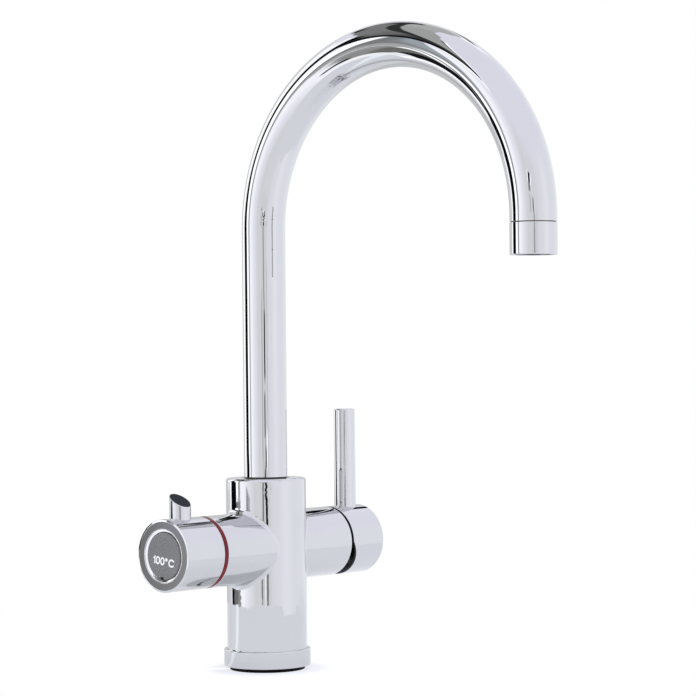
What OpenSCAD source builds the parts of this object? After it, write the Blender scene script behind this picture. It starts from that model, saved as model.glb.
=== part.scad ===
// Three-in-one boiling water tap. An upright column carries a swivelling
// swan-neck spout, a quarter-turn boiling knob on one side arm and a
// single-lever mixer on the other.
// Millimetres. +Z is up, the spout points to -Y, the boiling knob to -X and
// the mixer to +X. The origin is on the column's axis, at the deck plane.

/* [Base] */
// Height of the rubber gasket under the base ring
gasket_h = 2.3; // [1.6:0.1:3]
// Outer diameter of the rubber gasket
gasket_d = 45; // [42:0.5:48]
// Outer diameter of the base ring
ring_d = 52; // [50:0.5:56]
// Height of the base ring's top above the deck
ring_top = 12.4; // [10:0.2:15]
// Diameter of the inlet manifold that closes the column from below
manifold_d = 33.8; // [33:0.2:34.4]
// Height of the inlet manifold
manifold_h = 20; // [18:0.5:24]
// Radius of the hole for the fixing stud
stud_r = 4; // [3:0.25:4.5]
// Depth of the hole for the fixing stud
stud_depth = 16; // [12:0.5:17]
// Radius of the three threaded inlets
inlet_r = 4.5; // [4:0.1:4.6]
// Depth of the three threaded inlets
inlet_depth = 11; // [8:0.5:14]
// Diameter of the circle that the three inlets lie on
inlet_pcd = 22; // [21.5:0.1:22.6]

/* [Column] */
// Diameter of the upright column
column_d = 48; // [46.5:0.5:49]
// Height of the column's top above the deck
column_top = 114.4; // [113:0.2:118]
// Rounding of the column's top edge
column_round = 1.8; // [0.5:0.1:2.5]

/* [Arms] */
// Height of the arms' axis above the deck
arm_z = 73; // [71:0.5:75]
// Diameter of the arms, the knob and the mixer cap
arm_d = 42.2; // [41.6:0.2:43]
// Distance from the column's axis to the end of the boiling arm
arm_boil = 52.9; // [52.5:0.1:53.2]
// Distance from the column's axis to the end of the mixer arm
arm_mix = 53.5; // [53.2:0.1:54]

/* [Boiling knob] */
// Width of the red ring
red_w = 2.6; // [2:0.1:3]
// Distance from the column's axis to the knob's end face
knob_end = 85.3; // [84.5:0.1:87]
// Bevel of the knob's end edge
knob_bevel = 0.4; // [0.3:0.1:0.8]
// Fall of the outer band of the knob's end face
knob_crown = 0.25; // [0.1:0.05:0.4]
// Radius of the pocket that holds the button and its trim ring
pocket_r = 15.4; // [15:0.1:16]
// Radius of the safety button
button_r = 13.6; // [13:0.1:13.8]
// Travel of the safety button
button_travel = 2.5; // [1.5:0.1:2.8]
// Distance from the column's axis to the pin lever's axis
pin_x = 71.3; // [70.5:0.1:71.5]
// Diameter of the pin lever
pin_d = 12.6; // [11:0.2:12.8]
// Height of the pin lever's high side above the knob
pin_h = 14; // [13:0.5:18]
// Drop of the pin lever's slanted top from back to front
pin_drop = 7.6; // [5:0.2:9]

/* [Mixer] */
// Gap between the mixer arm and the cap
cap_gap = 1.9; // [0.4:0.1:2.2]
// Distance from the column's axis to the cap's outer end
cap_end = 83.2; // [81.5:0.1:84]
// Rounding of the cap's outer edge
cap_round = 1.5; // [0.5:0.1:2]
// Radius of the curved relief under the cap's rim
relief_r = 46.4; // [44:0.2:50]
// Distance from the column's axis to the lever rod's axis
rod_x = 70.7; // [68.5:0.1:71.3]
// Diameter of the lever rod at its foot
rod_foot_d = 13.4; // [12:0.1:13.6]
// Diameter of the lever rod at its top
rod_top_d = 13; // [11:0.1:13.2]
// Height of the lever rod's top above the deck
rod_top = 154; // [140:1:170]

/* [Spout] */
// Outer diameter of the spout tube
tube_d = 26; // [25:0.1:26]
// Wall of the spout tube
tube_wall = 1.5; // [1.2:0.1:1.6]
// Gap between the column's top and the spout's foot
foot_gap = 0.5; // [0.4:0.1:0.8]
// Height at which the swan neck starts to bend
bend_z = 262.5; // [240:0.5:280]
// Radius of the swan neck's centre line
bend_r = 102; // [90:1:115]
// Straight drop after the bend, down to the nozzle
drop_h = 3.7; // [3.2:0.1:6]
// Length of the nozzle
nozzle_h = 18; // [17:0.5:20]
// Outer diameter of the nozzle
nozzle_d = 26.2; // [25.5:0.1:26.4]
// Outer diameter of the inner boiling hose
hose_d = 7; // [6.6:0.1:7]

/* [Hidden] */
column_r = column_d / 2;
arm_r = arm_d / 2;
tube_r = tube_d / 2;
tube_in = tube_r - tube_wall;
foot_z = column_top + foot_gap;
seam_z = bend_z - drop_h;
nozzle_z = seam_z - nozzle_h;
socket_z = 84;
socket_r = 12.05;
spigot_r = 12;
bush_z = 103;
knob_in = arm_boil + red_w + 0.3;
web_in = 68.5;
web_out = 74;
guide_r = 17.4;
cap_in = arm_mix + cap_gap;
dome_r = 17;
seat_x = 24;
swing = 1.9;
fine = 128;
mid = 64;

// ---- helpers -------------------------------------------------------------

// Children are drawn along +Z and laid out along +X on the arms' axis, with
// their own z = 0 on the column's axis.
module to_mixer() { translate([0, 0, arm_z]) rotate([0, 90, 0]) children(); }

// The same towards -X.
module to_boiler() { translate([0, 0, arm_z]) rotate([0, -90, 0]) children(); }

// A plain ring from z = a to z = b.
module ring(ro, ri, a, b, n = mid) {
    rotate_extrude($fn = n) translate([ri, a]) square([ro - ri, b - a]);
}

// A plain bar from z = a to z = b.
module bar(r, a, b, n = mid) { translate([0, 0, a]) cylinder(r = r, h = b - a, $fn = n); }

// A bar whose edge at z = b is rounded by f.
module round_bar(r, a, b, f, n = fine) {
    rotate_extrude($fn = n) {
        translate([0, a]) square([r, b - a - f]);
        translate([0, a]) square([r - f, b - a]);
        translate([r - f, b - f]) circle(r = f, $fn = 48);
    }
}

// A rubber ring of cord radius c around radius r, at height z.
module o_ring(r, c, z) {
    translate([0, 0, z]) rotate_extrude($fn = mid) translate([r, 0]) circle(r = c, $fn = 24);
}

// A solid of the swan neck at radius r: leg up from z = a, half-round bend,
// and drop down to z = b.
module neck(r, a, b, n = fine) {
    translate([0, 0, a]) cylinder(r = r, h = bend_z - a, $fn = n);
    translate([0, -bend_r, bend_z]) rotate([90, 0, 90])
        rotate_extrude(angle = 180, $fn = 2 * fine) translate([bend_r, 0]) circle(r = r, $fn = n);
    translate([0, -2 * bend_r, b]) cylinder(r = r, h = bend_z - b, $fn = n);
}

// Where the three inlets lie: hot, cold and boiling.
inlets = [for (a = [60, -60, 180]) [inlet_pcd / 2 * cos(a), inlet_pcd / 2 * sin(a)]];

// Hexagon across flats w, from z = a to z = b.
module hexagon(w, a, b) { translate([0, 0, a]) cylinder(r = w / sqrt(3), h = b - a, $fn = 6); }

// ---- base and column -----------------------------------------------------

module body_casting() color("gainsboro") difference() {
    union() {
        round_bar(column_r, ring_top, column_top, column_round);
        bar(20, gasket_h, ring_top + 1);
        to_mixer() bar(arm_r, 0, arm_mix, fine);
        to_boiler() bar(arm_r, 0, arm_boil, fine);
    }
    // socket for the inlet manifold
    bar(manifold_d / 2 + 0.1, -1, manifold_h);
    // socket for the spout's spigot, wider at the top for its bush
    bar(socket_r, socket_z, column_top + 1);
    bar(14.5, bush_z, column_top + 1);
    // mixer chamber and boiling valve chamber
    to_mixer() bar(17.8, seat_x, arm_mix + 1);
    to_boiler() bar(17.5, 40, arm_boil + 1);
    to_boiler() bar(10.4, 22, 41);
    // hot and cold waterways
    for (s = [0, 1]) {
        translate([inlets[s][0], inlets[s][1], manifold_h - 1]) cylinder(r = 2.5, h = 50, $fn = 32);
        translate([inlets[s][0], inlets[s][1], 69]) rotate([0, 90, 0]) cylinder(r = 2.5, h = seat_x - inlets[s][0] + 1, $fn = 32);
    }
    // boiling feed to the valve and boiling outlet to the hose
    translate([inlets[2][0], 0, manifold_h - 1]) cylinder(r = 2.5, h = arm_z - manifold_h + 1, $fn = 32);
    to_boiler() bar(2.5, -inlets[2][0], 23, 32);
    to_boiler() bar(12.4, 28.4, 31.6);
    translate([0, 0, 78]) rotate([0, -79.6, 0]) cylinder(r = 2, h = 30.5, $fn = 32);
    bar(hose_d / 2 + 0.1, 77, socket_z + 1, 32);
    // mixed water from the cartridge up to the spigot
    translate([7.5, 0, arm_z + 7.5]) rotate([0, 90, 0]) cylinder(r = 2.4, h = seat_x - 6.5, $fn = 32);
    translate([7.5, 0, arm_z + 7.5]) cylinder(r = 2.4, h = socket_z - arm_z - 7, $fn = 32);
    // tapped hole for the spout's grub screw, at the back
    translate([0, 0, 90]) rotate([-90, 0, 0]) cylinder(r = 2.5, h = column_r + 1, $fn = 32);
    // blind holes for the manifold's screws
    for (a = [0, 120, 240]) rotate(a) translate([12, 0, 0]) cylinder(r = 2, h = 27, $fn = 24);
}

module base_ring() color("gainsboro") rotate_extrude($fn = fine) difference() {
    union() {
        translate([20.05, gasket_h]) square([ring_d / 2 - 20.05 - 0.6, ring_top - gasket_h]);
        translate([20.05, gasket_h + 0.6]) square([ring_d / 2 - 20.05, ring_top - gasket_h - 1.2]);
        translate([ring_d / 2 - 0.6, ring_top - 0.6]) circle(r = 0.6, $fn = 32);
        translate([ring_d / 2 - 0.6, gasket_h + 0.6]) circle(r = 0.6, $fn = 32);
    }
    translate([0, ring_top - 0.4]) square([column_r + 0.1, 1]);
}

module base_gasket() color([0.06, 0.06, 0.06]) ring(gasket_d / 2, manifold_d / 2 + 0.3, 0, gasket_h, fine);

module inlet_manifold() color("goldenrod") difference() {
    bar(manifold_d / 2, 0, manifold_h, fine);
    bar(stud_r, -1, stud_depth, 48);
    for (p = inlets) translate([p[0], p[1], 0]) {
        bar(inlet_r, -1, inlet_depth, 48);
        bar(2.5, 0, manifold_h + 1, 32);
        // groove for the O-ring on top
        ring(4.4, 2.4, manifold_h - 1.1, manifold_h + 1);
    }
    for (a = [0, 120, 240]) rotate(a) translate([12, 0, 0]) {
        bar(2.05, -1, manifold_h + 1, 24);
        bar(3.4, -1, 4, 32);
    }
}

module manifold_o_rings() color([0.08, 0.08, 0.08]) for (p = inlets)
    translate([p[0], p[1], 0]) o_ring(3.4, 0.5, manifold_h - 0.55);

module manifold_screws() color("silver") for (a = [0, 120, 240]) rotate(a) translate([12, 0, 0]) difference() {
    union() {
        bar(1.95, 3, 26.5, 24);
        bar(3.3, 0.8, 4, 32);
    }
    hexagon(2.5, -1, 2.8);
}

// The bush ends in a thin lip, the dark line under the spout's foot.
module swivel_bush() color([0.16, 0.16, 0.17]) rotate_extrude($fn = fine) {
    translate([socket_r, bush_z]) square([14.45 - socket_r, column_top - bush_z - 0.05]);
    translate([socket_r, bush_z]) square([12.5 - socket_r, column_top - bush_z + foot_gap - 0.05]);
}

module spout_grub_screw() color("dimgray") translate([0, 0, 90]) rotate([-90, 0, 0]) difference() {
    union() {
        bar(1.2, 10.4, 14, 24);
        bar(2.45, 13, 22.6, 32);
    }
    hexagon(2.5, 20, 24);
}

// ---- spout ---------------------------------------------------------------

module spout_tube() color("gainsboro") difference() {
    neck(tube_r, foot_z, seam_z);
    neck(tube_in, foot_z - 1, seam_z - 1);
}

module spout_spigot() color("goldenrod") difference() {
    union() {
        bar(spigot_r, 86, foot_z, fine);
        bar(tube_in - 0.05, foot_z - 1, 130, fine);
    }
    bar(8.6, 85, 131);
    // stop groove for the grub screw's tip: the spout turns 75 degrees each way
    translate([0, 0, 88.4]) rotate(90 - 84) rotate_extrude(angle = 168, $fn = mid)
        translate([10.1, 0]) square([4, 3.2]);
    // O-ring grooves
    for (z = [93.6, 98.6]) ring(15, 9.9, z, z + 2.4);
}

module spigot_o_rings() color([0.08, 0.08, 0.08]) for (z = [94.8, 99.8]) o_ring(10.95, 1.05, z);

module boiling_hose() color([0.85, 0.85, 0.8]) difference() {
    neck(hose_d / 2, 79.5, seam_z - 5, 32);
    neck(hose_d / 2 - 1.2, 78, seam_z - 6, 32);
}

// ---- nozzle --------------------------------------------------------------

module at_nozzle() { translate([0, -2 * bend_r, 0]) children(); }

module nozzle_adaptor() color("goldenrod") at_nozzle() difference() {
    union() {
        bar(tube_in - 0.05, seam_z - 0.1, seam_z + 3, fine);
        bar(10.9, seam_z - 7, seam_z, fine);
    }
    bar(9, seam_z - 8, seam_z + 4);
    ring(12, 9.7, seam_z - 4.4, seam_z - 2);
}

module nozzle_o_ring() color([0.08, 0.08, 0.08]) at_nozzle() o_ring(10.45, 0.7, seam_z - 3.2);

module outlet_nozzle() color("gainsboro") at_nozzle() difference() {
    rotate_extrude($fn = fine) {
        translate([0, nozzle_z + 0.5]) square([nozzle_d / 2, nozzle_h - 0.9]);
        translate([0, nozzle_z]) square([nozzle_d / 2 - 0.5, nozzle_h - 0.4]);
        translate([nozzle_d / 2 - 0.5, nozzle_z + 0.5]) circle(r = 0.5, $fn = 32);
    }
    bar(11.2, nozzle_z - 1, seam_z + 1, fine);
}

module flow_straightener() color([0.2, 0.2, 0.21]) at_nozzle() difference() {
    bar(11.15, nozzle_z + 1, nozzle_z + 7, fine);
    bar(hose_d / 2, nozzle_z, nozzle_z + 8);
    for (i = [0:9]) rotate(i * 36) translate([5.7, 0, nozzle_z]) cylinder(r = 1.05, h = 8, $fn = 16);
    for (i = [0:15]) rotate(i * 22.5) translate([8.9, 0, nozzle_z]) cylinder(r = 1.05, h = 8, $fn = 16);
}

module aerator_screen() color("silver") at_nozzle() difference() {
    ring(11.15, hose_d / 2, nozzle_z + 7.1, nozzle_z + 7.7, fine);
    for (i = [0:11]) rotate(i * 30) translate([7.4, 0, nozzle_z]) cylinder(r = 1.2, h = 9, $fn = 16);
}

module boiling_tip() color([0.3, 0.3, 0.3]) at_nozzle() ring(hose_d / 2 - 0.05, 1.6, nozzle_z + 0.7, seam_z - 5.2);

// ---- boiling arm ---------------------------------------------------------

module red_ring() color("firebrick") to_boiler() ring(arm_r, 17.5, arm_boil, arm_boil + red_w, fine);

module boiling_valve() color("goldenrod") to_boiler() difference() {
    union() {
        bar(10.3, 22.8, 41, mid);
        hexagon(24, 40, 46);
        bar(9, 45, 56, mid);
    }
    // disc chamber, spindle bore and side port
    bar(8, 22, 34.2, mid);
    bar(4.05, 30, 57, 48);
    translate([0, 0, 30]) rotate([0, 90, 0]) cylinder(r = 1.8, h = 12, $fn = 24);
}

module valve_seal() color([0.1, 0.1, 0.1]) to_boiler() ring(7.9, 3, 22.1, 24);

module valve_fixed_disc() color("white") to_boiler() difference() {
    bar(7.8, 24, 26.8);
    translate([3.8, 0, 23]) cylinder(r = 2, h = 5, $fn = 24);
    translate([-3.8, 0, 23]) cylinder(r = 2, h = 5, $fn = 24);
}

module valve_moving_disc() color("lightgray") to_boiler() difference() {
    bar(7.5, 26.9, 29.6);
    translate([0, 3.8, 26]) cylinder(r = 2, h = 5, $fn = 24);
    translate([0, -3.8, 26]) cylinder(r = 2, h = 5, $fn = 24);
}

module valve_spindle() color("darkgoldenrod") to_boiler() difference() {
    union() {
        bar(7.4, 29.6, 33.9);
        bar(4, 33, 62, 48);
        // square drive end
        translate([-2.9, -2.9, 61]) cube([5.8, 5.8, 11]);
    }
    // groove for the spindle's O-ring and tapped hole for the knob screw
    ring(6, 3, 48, 50, 48);
    bar(1.7, 60, 73, 24);
}

module spindle_o_ring() color([0.08, 0.08, 0.08]) to_boiler() o_ring(3.5, 0.48, 49);

module valve_lock_nut() color("goldenrod") to_boiler() difference() {
    hexagon(22, 48.1, 51.5);
    bar(9.05, 47, 53);
}

module knob_guide_ring() color("ivory") to_boiler() {
    ring(guide_r, 15.4, 46.1, 61.5, fine);
    ring(15.6, 9.1, 46.1, 48, fine);
}

module knob_shell() color("gainsboro") to_boiler() difference() {
    rotate_extrude($fn = fine) polygon([
        [0, knob_in], [arm_r, knob_in], [arm_r, knob_end - knob_crown - knob_bevel],
        [arm_r - knob_bevel, knob_end - knob_crown], [arm_r - 1.8, knob_end], [0, knob_end]]);
    // hollow over the guide ring, pocket for the button, hole for the insert
    bar(guide_r + 0.08, knob_in - 1, web_in, fine);
    bar(pocket_r, web_out, knob_end + 1, fine);
    bar(7.5, web_in - 1, web_out + 1);
    // blind socket for the pin lever and the hole for its stud
    rotate([0, 90, 0]) translate([-pin_x, 0, 0]) {
        bar(pin_d / 2 + 0.02, 18.6, 30, mid);
        bar(2, 9, 20, 24);
    }
}

module knob_pin() color("gainsboro") translate([-pin_x, 0, arm_z]) difference() {
    bar(pin_d / 2, 18.6, arm_r + pin_h, mid);
    bar(2, 17, 24, 24);
    // slanted top, high at the back
    translate([0, pin_d / 2, arm_r + pin_h]) rotate([atan(pin_drop / pin_d), 0, 0])
        translate([-10, -30, 0]) cube([20, 40, 20]);
}

module pin_stud() color("dimgray") translate([-pin_x, 0, arm_z]) bar(1.95, 9.3, 23.7, 24);

module knob_insert() color("ivory") to_boiler() difference() {
    union() {
        bar(7.45, 63, web_out - 0.1);
        bar(10, 66.4, web_in - 0.05);
    }
    translate([-3, -3, 62]) cube([6, 6, 10.2]);
    bar(2.1, 70, 75, 24);
}

module knob_screw() color("silver") to_boiler() difference() {
    union() {
        bar(1.65, 63, 75, 24);
        bar(3.5, web_out - 0.05, 76.4, 32);
    }
    hexagon(3, 75, 78);
}

module button_trim_ring() color("whitesmoke") to_boiler()
    ring(pocket_r - 0.02, button_r + 0.35, knob_end - 2.6, knob_end - 0.3, fine);

module safety_button() color([0.36, 0.36, 0.37]) to_boiler() difference() {
    union() {
        bar(button_r, 82, knob_end - 0.5, fine);
        bar(14.9, 80.4, knob_end - 2.9, fine);
        ring(11.6, 10, 77.2, 81, mid);
    }
    // recess over the screw head
    bar(4.4, 79.2, 81.4);
    // small notch in the rim, a little off the lowest point, to lift the button out
    rotate(172.8) translate([button_r - 1.3, -1.5, knob_end - 2.85]) cube([3, 3, 4]);
}

// Points of one ring of the spring's wire: turn angle t, height h.
function coil_point(t, h, k) = [
    (7.4 + 0.5 * cos(k * 45)) * cos(t), (7.4 + 0.5 * cos(k * 45)) * sin(t), h + 0.5 * sin(k * 45)];
coil_turns = 3;
coil_steps = coil_turns * 24;

module button_spring() color("silver") to_boiler() polyhedron(
    points = [for (i = [0:coil_steps]) for (k = [0:7])
        coil_point(i * 15, 74.6 + i * (80.3 - 74.6 - 0.55) / coil_steps, k)],
    faces = concat(
        [[for (k = [0:7]) k]],
        [for (i = [0:coil_steps - 1]) for (k = [0:7])
            [i * 8 + k, (i + 1) * 8 + k, (i + 1) * 8 + (k + 1) % 8, i * 8 + (k + 1) % 8]],
        [[for (k = [7:-1:0]) coil_steps * 8 + k]]));

// ---- mixer arm -----------------------------------------------------------

module mixer_cartridge() color([0.75, 0.75, 0.72]) to_mixer() difference() {
    bar(17.4, seat_x + 0.3, 44, fine);
    bar(15.4, 27.3, 41, fine);
    bar(11.05, 40, 45, fine);
    // hot, cold and mixed ports
    for (s = [1, -1]) translate([4, s * inlets[0][1], 20]) cylinder(r = 2.6, h = 9, $fn = 32);
    translate([-7.5, 0, 20]) cylinder(r = 2.6, h = 9, $fn = 32);
}

module port_seals() color([0.1, 0.1, 0.1]) to_mixer() {
    for (s = [1, -1]) translate([4, s * inlets[0][1], 0]) ring(3.9, 2.7, seat_x, seat_x + 0.3);
    translate([-7.5, 0, 0]) ring(3.9, 2.7, seat_x, seat_x + 0.3);
}

module mixer_fixed_disc() color("white") to_mixer() difference() {
    bar(15.2, 27.3, 30.9, fine);
    for (s = [1, -1]) translate([4, s * inlets[0][1], 26]) cylinder(r = 2.2, h = 9, $fn = 32);
    translate([-7.5, 0, 26]) cylinder(r = 2.4, h = 9, $fn = 32);
}

module mixer_moving_disc() color("lightgray") to_mixer() translate([swing, 0, 0]) difference() {
    bar(12.6, 31, 34.4, fine);
    // mixing pocket in the sealing face
    translate([-3, 0, 30]) cylinder(r = 6, h = 2.4, $fn = 48);
}

module disc_driver() color([0.2, 0.2, 0.22]) to_mixer() difference() {
    union() {
        translate([swing, 0, 0]) bar(12.6, 34.4, 36, fine);
        bar(5.4, 35, 42, mid);
    }
    bar(2.7, 37, 43, 48);
}

module cartridge_carrier() color("ivory") to_mixer() difference() {
    union() {
        bar(14.9, 36.4, 40.6, fine);
        bar(11, 40, 55.4, fine);
    }
    // slot for the driver, bore for the stem, hole for the fulcrum pin
    translate([-swing, 0, 0]) bar(8, 35, 43, mid);
    bar(7.4, 42, 56, mid);
    translate([0, 12, arm_mix]) rotate([90, 0, 0]) cylinder(r = 1.5, h = 24, $fn = 32);
}

module stem_pin() color("silver") translate([arm_mix, 10.6, arm_z]) rotate([90, 0, 0])
    cylinder(r = 1.45, h = 21.2, $fn = 32);

module cartridge_stem() color("silver") to_mixer() difference() {
    union() {
        translate([0, 0, 40]) sphere(r = 2.3, $fn = 32);
        bar(1.8, 40, 52, 32);
        translate([0, 4, arm_mix]) rotate([90, 0, 0]) cylinder(r = 4, h = 8, $fn = 48);
        translate([-4, -4, arm_mix]) cube([8, 8, 24]);
    }
    translate([0, 6, arm_mix]) rotate([90, 0, 0]) cylinder(r = 1.5, h = 12, $fn = 32);
}

module cartridge_nut() color("goldenrod") to_mixer() difference() {
    bar(17.75, 44.05, 49.8, fine);
    bar(12, 43, 51, fine);
    // spanner slots
    for (a = [0, 90]) rotate(a) translate([-19, -2, 47.6]) cube([38, 4, 4]);
}

module cartridge_dome() color([0.17, 0.17, 0.17]) to_mixer() difference() {
    union() {
        bar(17.7, 49.9, arm_mix - 0.3, fine);
        intersection() {
            translate([0, 0, arm_mix]) sphere(r = dome_r, $fn = fine);
            bar(dome_r + 1, arm_mix - 1, arm_mix + 20, fine);
        }
    }
    intersection() {
        translate([0, 0, arm_mix]) sphere(r = dome_r - 2, $fn = fine);
        bar(dome_r, arm_mix - 3.7, arm_mix + 20, fine);
    }
    bar(11.6, arm_mix - 5, arm_mix + 20, fine);
}

module mixer_cap() color("gainsboro") difference() {
    to_mixer() difference() {
        round_bar(arm_r, cap_in, cap_end, cap_round);
        bar(17.9, cap_in - 1, arm_mix + 17.6, fine);
        // thin wall at the rim
        bar(19.6, cap_in - 1, arm_mix + 9, fine);
        translate([-4.05, -4.05, arm_mix + 10]) cube([8.1, 8.1, 14.1]);
    }
    // curved relief of the lower rim
    intersection() {
        translate([arm_mix - 38.8, 30, arm_z - 22]) rotate([90, 0, 0]) cylinder(r = relief_r, h = 60, $fn = 2 * fine);
        translate([arm_mix - 5, -40, arm_z - 40]) cube([30, 80, 41]);
    }
    // blind socket for the lever rod, tapped hole for the grub screw
    translate([rod_x, 0, arm_z]) bar(rod_foot_d / 2 + 0.02, 18.7, 30, mid);
    translate([74.5, 0, arm_z - 24]) cylinder(r = 2.5, h = 21, $fn = 32);
}

module mixer_lever() color("gainsboro") translate([rod_x, 0, 0]) rotate_extrude($fn = mid) {
    polygon([[0, arm_z + 18.7], [rod_foot_d / 2, arm_z + 18.7], [rod_foot_d / 2, arm_z + 24],
        [rod_top_d / 2, rod_top - 0.9], [0, rod_top - 0.9]]);
    translate([0, rod_top - 1.5]) square([rod_top_d / 2 - 0.9, 1.5]);
    translate([rod_top_d / 2 - 0.9, rod_top - 0.9]) circle(r = 0.9, $fn = 32);
}

module cap_grub_screw() color("dimgray") translate([74.5, 0, arm_z]) difference() {
    bar(2.45, -19.5, -4.02, 32);
    hexagon(2.5, -20, -16.5);
}

// ---- assembly ------------------------------------------------------------

body_casting();
base_ring();
base_gasket();
inlet_manifold();
manifold_o_rings();
manifold_screws();
swivel_bush();
spout_grub_screw();
spout_tube();
spout_spigot();
spigot_o_rings();
boiling_hose();
nozzle_adaptor();
outlet_nozzle();
nozzle_o_ring();
flow_straightener();
aerator_screen();
boiling_tip();
red_ring();
boiling_valve();
valve_seal();
valve_fixed_disc();
valve_moving_disc();
valve_spindle();
spindle_o_ring();
valve_lock_nut();
knob_guide_ring();
knob_shell();
knob_pin();
pin_stud();
knob_insert();
knob_screw();
button_trim_ring();
safety_button();
button_spring();
mixer_cartridge();
port_seals();
mixer_fixed_disc();
mixer_moving_disc();
disc_driver();
cartridge_carrier();
stem_pin();
cartridge_stem();
cartridge_nut();
cartridge_dome();
mixer_cap();
mixer_lever();
cap_grub_screw();
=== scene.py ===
"""Boiling water tap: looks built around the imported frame."""

import math

import bpy
import numpy as np
from mathutils import Matrix, Vector


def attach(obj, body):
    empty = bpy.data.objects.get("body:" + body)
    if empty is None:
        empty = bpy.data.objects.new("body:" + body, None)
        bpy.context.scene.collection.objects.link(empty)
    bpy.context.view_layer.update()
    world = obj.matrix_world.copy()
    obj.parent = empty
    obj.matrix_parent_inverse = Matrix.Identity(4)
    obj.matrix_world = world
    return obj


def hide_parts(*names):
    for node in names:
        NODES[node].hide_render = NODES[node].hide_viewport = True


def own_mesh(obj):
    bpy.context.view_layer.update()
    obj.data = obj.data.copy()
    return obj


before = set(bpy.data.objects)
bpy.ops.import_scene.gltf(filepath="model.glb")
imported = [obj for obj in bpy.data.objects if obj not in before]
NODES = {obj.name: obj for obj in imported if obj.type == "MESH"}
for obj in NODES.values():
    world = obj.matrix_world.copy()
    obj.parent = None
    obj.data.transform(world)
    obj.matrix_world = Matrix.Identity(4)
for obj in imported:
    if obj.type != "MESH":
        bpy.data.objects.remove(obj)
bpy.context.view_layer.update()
MM = 0.001

# sizes in millimetres, as in the CAD source
RC, RA, AZ = 24.0, 21.1, 73.0  # column radius, arm radius, arm axis height
COL_LO, COL_TOP, COL_ROUND = 12.4, 114.4, 1.8
ARM_B, ARM_M = 52.9, 53.5
FIL = 3.2  # cast blend between column and arms


# ---------------------------------------------------------------- node graphs
class Graph:
    """Short names for building shader nodes."""

    def __init__(self, tree):
        self.t = tree
        self.t.nodes.clear()

    def new(self, kind, **props):
        n = self.t.nodes.new(kind)
        for k, v in props.items():
            setattr(n, k, v)
        return n

    def put(self, socket, value):
        if isinstance(value, bpy.types.NodeSocket):
            self.t.links.new(value, socket)
        elif isinstance(value, (tuple, list)) and len(value) == 3 and socket.type == "RGBA":
            socket.default_value = (*value, 1.0)
        else:
            socket.default_value = value

    def math(self, op, a, b=None, c=None, clamp=False):
        n = self.new("ShaderNodeMath", operation=op, use_clamp=clamp)
        for i, v in enumerate((a, b, c)):
            if v is not None:
                self.put(n.inputs[i], v)
        return n.outputs[0]

    def add(self, a, b):
        return self.math("ADD", a, b)

    def sub(self, a, b):
        return self.math("SUBTRACT", a, b)

    def mul(self, a, b):
        return self.math("MULTIPLY", a, b)

    def dot(self, v, const):
        n = self.new("ShaderNodeVectorMath", operation="DOT_PRODUCT")
        self.put(n.inputs[0], v)
        n.inputs[1].default_value = const
        return n.outputs["Value"]

    def ramp01(self, x, e0, e1, lo=0.0, hi=1.0, kind="SMOOTHSTEP"):
        n = self.new("ShaderNodeMapRange", interpolation_type=kind, clamp=True)
        for name, v in (("Value", x), ("From Min", e0), ("From Max", e1), ("To Min", lo), ("To Max", hi)):
            self.put(n.inputs[name], v)
        return n.outputs["Result"]

    def band(self, x, a, b, s):
        """1 between a and b, with soft edges s wide."""
        up = self.ramp01(x, a - s / 2, a + s / 2) if not isinstance(a, bpy.types.NodeSocket) else self.step(x, a, s)
        dn = self.ramp01(x, b - s / 2, b + s / 2, 1.0, 0.0) if not isinstance(b, bpy.types.NodeSocket) else self.step(b, x, s)
        return self.mul(up, dn)

    def step(self, x, edge, s):
        """0 below edge, 1 above it; the edge may be a socket."""
        return self.ramp01(self.sub(x, edge), -s / 2, s / 2)

    def mix(self, fac, a, b):
        n = self.new("ShaderNodeMix", data_type="RGBA", clamp_factor=True)
        self.put(n.inputs[0], fac)
        self.put(n.inputs[6], a)
        self.put(n.inputs[7], b)
        return n.outputs[2]

    def line(self, x, x0, y0, x1, y1):
        """The straight line through two points, as a function of x."""
        k = (y1 - y0) / (x1 - x0)
        return self.math("MULTIPLY_ADD", x, k, y0 - k * x0)

    def noise(self, vec, scale, detail=3.0, rough=0.5, dim="3D"):
        n = self.new("ShaderNodeTexNoise", noise_dimensions=dim)
        self.put(n.inputs["Vector"], vec)
        n.inputs["Scale"].default_value = scale
        n.inputs["Detail"].default_value = detail
        n.inputs["Roughness"].default_value = rough
        return n.outputs["Fac"]

    def stretch(self, vec, sx, sy, sz):
        n = self.new("ShaderNodeMapping")
        self.put(n.inputs["Vector"], vec)
        n.inputs["Scale"].default_value = (sx, sy, sz)
        return n.outputs[0]

    def bump(self, height, distance, strength=1.0, normal=None):
        n = self.new("ShaderNodeBump")
        n.inputs["Strength"].default_value = strength
        n.inputs["Distance"].default_value = distance
        self.put(n.inputs["Height"], height)
        if normal is not None:
            self.put(n.inputs["Normal"], normal)
        return n.outputs[0]


def new_material(name):
    m = bpy.data.materials.new(name)
    m.use_nodes = True
    g = Graph(m.node_tree)
    out = g.new("ShaderNodeOutputMaterial")
    b = g.new("ShaderNodeBsdfPrincipled")
    m.node_tree.links.new(b.outputs[0], out.inputs[0])
    co = g.new("ShaderNodeTexCoord").outputs["Object"]
    return m, g, b, co


CHROME = (0.635, 0.640, 0.650)


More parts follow.
